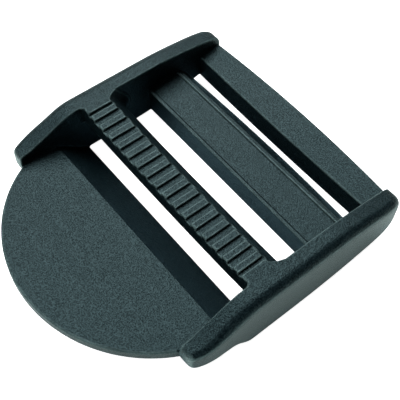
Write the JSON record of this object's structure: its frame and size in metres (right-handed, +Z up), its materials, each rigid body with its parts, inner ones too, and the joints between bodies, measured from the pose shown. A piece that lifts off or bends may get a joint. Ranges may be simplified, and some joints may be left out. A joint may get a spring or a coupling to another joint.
{
  "type": "buckle slider",
  "caption": "Moulded ladder-lock slider for wide webbing: side rails joined by a toothed grip bar, a stepped middle bar, an end bar and a round thumb tab.",
  "frame": {"origin": "centre of the overall length and width, on the plane of the rails' flat undersides", "axes": "+X across the webbing, +Y from the thumb tab to the end bar along the webbing, +Z up out of the toothed face"},
  "size_m": [0.0618, 0.0702, 0.0139],
  "materials": {
    "moulded_plastic": "fine spark-eroded grain, green-black, satin on the rounded edges"
  },
  "bodies": {
    "root": {"left_rail": "moulded_plastic", "right_rail": "moulded_plastic", "thumb_tab": "moulded_plastic", "tab_ramp": "moulded_plastic", "grip_bar": "moulded_plastic", "middle_bar": "moulded_plastic", "end_bar": "moulded_plastic"}
  },
  "joints": []
}
